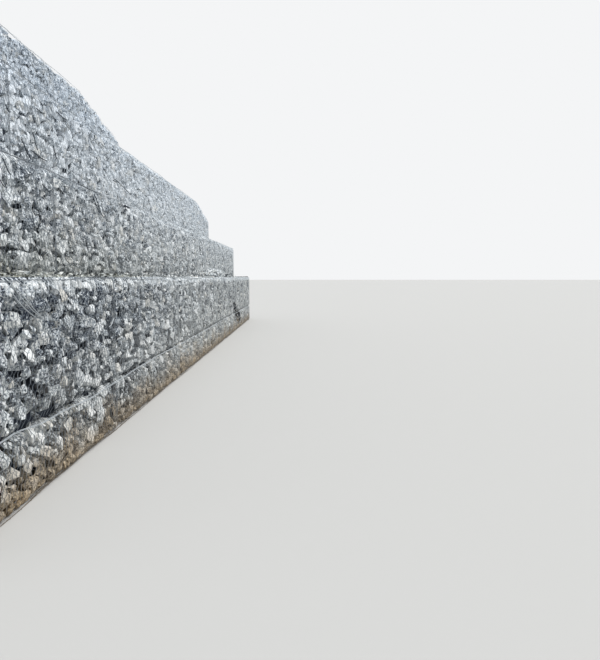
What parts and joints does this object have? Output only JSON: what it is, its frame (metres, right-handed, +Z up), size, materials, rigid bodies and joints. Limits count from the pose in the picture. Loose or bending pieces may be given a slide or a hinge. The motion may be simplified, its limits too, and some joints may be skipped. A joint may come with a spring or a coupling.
{
  "type": "gabion wall",
  "caption": "Stepped gabion retaining wall: stone-filled wire mesh baskets in stacked, set-back courses with laced edge wires, stepping down at its far end.",
  "frame": {"origin": "middle of the wall's footprint, on the ground", "axes": "+X along the wall towards its stepped-down end, +Y into the retained ground, +Z up"},
  "size_m": [18, 2.775, 4.5],
  "materials": {
    "stone_fill": "rough broken limestone, pale grey to blue-grey",
    "edge_wire": "dull galvanised steel"
  },
  "bodies": {
    "root": {"base_bay_1": "stone_fill", "base_bay_2": "stone_fill", "base_bay_3": "stone_fill", "base_bay_4": "stone_fill", "base_bay_5": "stone_fill", "base_bay_6": "stone_fill", "course_1_bay_1": "stone_fill", "course_1_bay_2": "stone_fill", "course_1_bay_3": "stone_fill", "course_1_bay_4": "stone_fill", "course_1_bay_5": "stone_fill", "course_1_bay_6": "stone_fill", "course_2_bay_1": "stone_fill", "course_2_bay_2": "stone_fill", "course_2_bay_3": "stone_fill", "course_2_bay_4": "stone_fill", "course_2_bay_5": "stone_fill", "course_2_bay_6": "stone_fill", "course_3_bay_1": "stone_fill", "course_3_bay_2": "stone_fill", "course_3_bay_3": "stone_fill", "course_3_bay_4": "stone_fill", "course_3_bay_5": "stone_fill", "course_4_bay_1": "stone_fill", "course_4_bay_2": "stone_fill", "course_4_bay_3": "stone_fill", "edge_wires_base": "edge_wire", "edge_wires_course_1": "edge_wire", "edge_wires_course_2": "edge_wire", "edge_wires_course_3": "edge_wire", "edge_wires_course_4": "edge_wire"}
  },
  "joints": []
}
